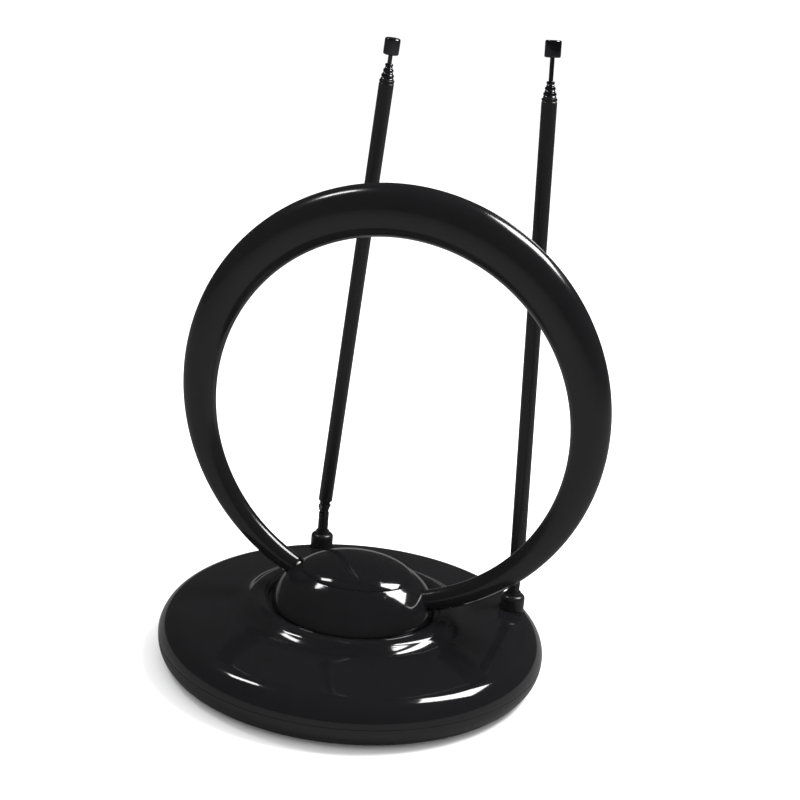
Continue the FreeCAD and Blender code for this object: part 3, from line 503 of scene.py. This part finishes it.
def rod_profile(side_name):
    """The last, solid rod: a guide collar at its foot, and its end inside the tip."""
    foot = TUBE_FEET[4] + ROD_OUT[side_name] - ROD_OUT["left"]
    end = tube_top(3) + ROD_OUT[side_name] + 2.0
    collar = BORE_R[3] - 0.05
    guide_top = foot + GUIDE_L
    return [(0.0, foot), (collar, foot), (collar, guide_top), (1.0, guide_top + 0.05), (1.0, end), (0.0, end)]


def tip_profile(side_name):
    """The tip: a short cap with rounded edges, and a blind hole for the rod's end."""
    low = tube_top(3) + ROD_OUT[side_name]
    high, rounding = low + TIP_H, 0.7
    hole_r, hole_end = 1.02, low + 2.05
    round_low = circle_points((TIP_R - rounding, low + rounding), rounding, 270, 360, 8)
    round_high = circle_points((TIP_R - rounding, high - rounding), rounding, 0, 90, 8)
    return [(hole_r, low)] + round_low + round_high + [(0.0, high), (0.0, hole_end), (hole_r, hole_end)]


def socket_profile():
    """The turned barrel and its shank: a broken edge round the foot, and a rounded shoulder."""
    rounding, bore, shank, end = 2.0, 2.05, 3.6, 11.05
    shoulder = circle_points((SOCKET_R - rounding, SOCKET_TOP - rounding), rounding, 0, 90, 14)
    foot = [(shank, end), (shank, SOCKET_Z), (SOCKET_R - 0.15, SOCKET_Z), (SOCKET_R, SOCKET_Z + 0.15)]
    return [(bore, end)] + foot + shoulder + [(bore, SOCKET_TOP)]


def build_whips():
    for side_name, side in SIDES.items():
        spot = Matrix.Translation((side * WHIP_X, WHIP_Y, 0))
        piece(side_name + "_socket_turning", lathe(socket_profile(), 96), FINISH["socket_black"], "base",
              [side_name + "_socket"], spot)
        place = on_stem(side_name)
        for k in range(4):
            slot = "whip_chrome" if k else "whip_black"
            name = side_name + "_tube_" + str(k + 1)
            piece(name + "_drawn", lathe(tube_profile(k), 72), FINISH[slot], side_name + "_section_" + str(k + 1),
                  [name], place)
        for part, profile in (("rod", rod_profile), ("tip", tip_profile)):
            name = side_name + "_" + part
            piece(name + "_turned", lathe(profile(side_name), 72), FINISH["whip_chrome"],
                  side_name + "_section_5", [name], place)


# ---- camera, floor and light ----
CAMERA_AZ, CAMERA_EL, CAMERA_ROLL = 29.83, 16.97, 5.15
CAMERA_AWAY, CAMERA_TX, CAMERA_TZ, CAMERA_TY = 672.95, 12.81, 104.05, 21.72
FLOOR_SEEN, FLOOR_MIRRORED = 0.90, 0.13
WORLD_SEEN, WORLD_MIRRORED = 1.25, 0.05


def build_camera():
    """The camera, from its turn, height and roll round the object's axis."""
    a, e, roll = radians(CAMERA_AZ), radians(CAMERA_EL), radians(CAMERA_ROLL)
    back = Vector((sin(a) * cos(e), -cos(a) * cos(e), sin(e)))
    right = Vector((cos(a), sin(a), 0))
    up = back.cross(right)
    target = right * CAMERA_TX + Vector((0, 0, CAMERA_TZ)) + up * CAMERA_TY
    across = right * cos(roll) + up * sin(roll)
    above = up * cos(roll) - right * sin(roll)
    camera = bpy.data.objects.new("camera", bpy.data.cameras.new("camera"))
    camera.data.lens = 67.5
    camera.data.sensor_width = 36
    camera.data.clip_start = 0.01
    camera.data.clip_end = 100
    turn = Matrix((across, above, back)).transposed().to_4x4()
    camera.matrix_world = Matrix.Translation((target + back * CAMERA_AWAY) * MM) @ turn
    bpy.context.scene.collection.objects.link(camera)
    bpy.context.scene.camera = camera


def softbox(name, at, aim, size, power):
    lamp = bpy.data.lights.new(name, "AREA")
    lamp.shape = "RECTANGLE"
    lamp.size, lamp.size_y = size
    lamp.energy = power
    obj = bpy.data.objects.new(name, lamp)
    obj.location = at
    obj.rotation_euler = (Vector(aim) - Vector(at)).to_track_quat("-Z", "Y").to_euler()
    bpy.context.scene.collection.objects.link(obj)


LAMPS = {                 # name: (aim, direction towards the lamp, distance, size, power), metres and watts
    "left": ((0.004, -0.083, 0.017), (-0.520, -0.080, 0.85), 1.3, (0.16, 0.26), 3.0),
    "right": ((0.016, -0.013, 0.041), (0.38, 0.42, 0.82), 1.3, (0.46, 0.56), 22.0),
}


def shown_white(name, seen, mirrored):
    """The floor's finish: pale where the camera sees it, and darker in the polished pieces."""
    material = surface(name, (seen, seen, seen), 0.9, grain=40.0, shade_spread=0.01)
    tree = material.node_tree
    shader = tree.nodes["Principled BSDF"]
    pale = shader.inputs["Base Color"].links[0].from_socket
    path = node(tree, "ShaderNodeLightPath")
    choice = tree.nodes.new("ShaderNodeMix")
    choice.data_type = "RGBA"
    tree.links.new(path.outputs["Is Glossy Ray"], choice.inputs["Factor"])
    tree.links.new(pale, choice.inputs[6])
    choice.inputs[7].default_value = (mirrored, mirrored, mirrored, 1)
    tree.links.new(choice.outputs[2], shader.inputs["Base Color"])
    return material


def build_studio():
    """A white floor, the lamps, and a white world that the polished pieces mirror only faintly."""
    mesh = bpy.data.meshes.new("floor")
    reach = 20.0
    mesh.from_pydata([(-reach, -reach, 0), (reach, -reach, 0), (reach, reach, 0), (-reach, reach, 0)], [],
                     [[0, 1, 2, 3]])
    floor = bpy.data.objects.new("floor", mesh)
    bpy.context.scene.collection.objects.link(floor)
    mesh.materials.append(shown_white("floor_white", FLOOR_SEEN, FLOOR_MIRRORED))
    for name, (aim, direction, away, size, power) in LAMPS.items():
        at = Vector(aim) + Vector(direction).normalized() * away
        softbox(name, at, aim, size, power)
    world = bpy.data.worlds.new("studio")
    world.use_nodes = True
    tree = world.node_tree
    seen = tree.nodes["Background"]
    seen.inputs["Color"].default_value = (1, 1, 1, 1)
    seen.inputs["Strength"].default_value = WORLD_SEEN
    mirrored = node(tree, "ShaderNodeBackground", Color=(1, 1, 1, 1), Strength=WORLD_MIRRORED)
    path = node(tree, "ShaderNodeLightPath")
    choice = node(tree, "ShaderNodeMixShader")
    tree.links.new(path.outputs["Is Glossy Ray"], choice.inputs[0])
    tree.links.new(seen.outputs["Background"], choice.inputs[1])
    tree.links.new(mirrored.outputs["Background"], choice.inputs[2])
    tree.links.new(choice.outputs["Shader"], tree.nodes["World Output"].inputs["Surface"])
    bpy.context.scene.world = world
    bpy.context.scene.view_settings.view_transform = "Standard"


dress_cad_nodes()
build_base()
build_hub()
build_loop()
build_whips()
build_camera()
build_studio()
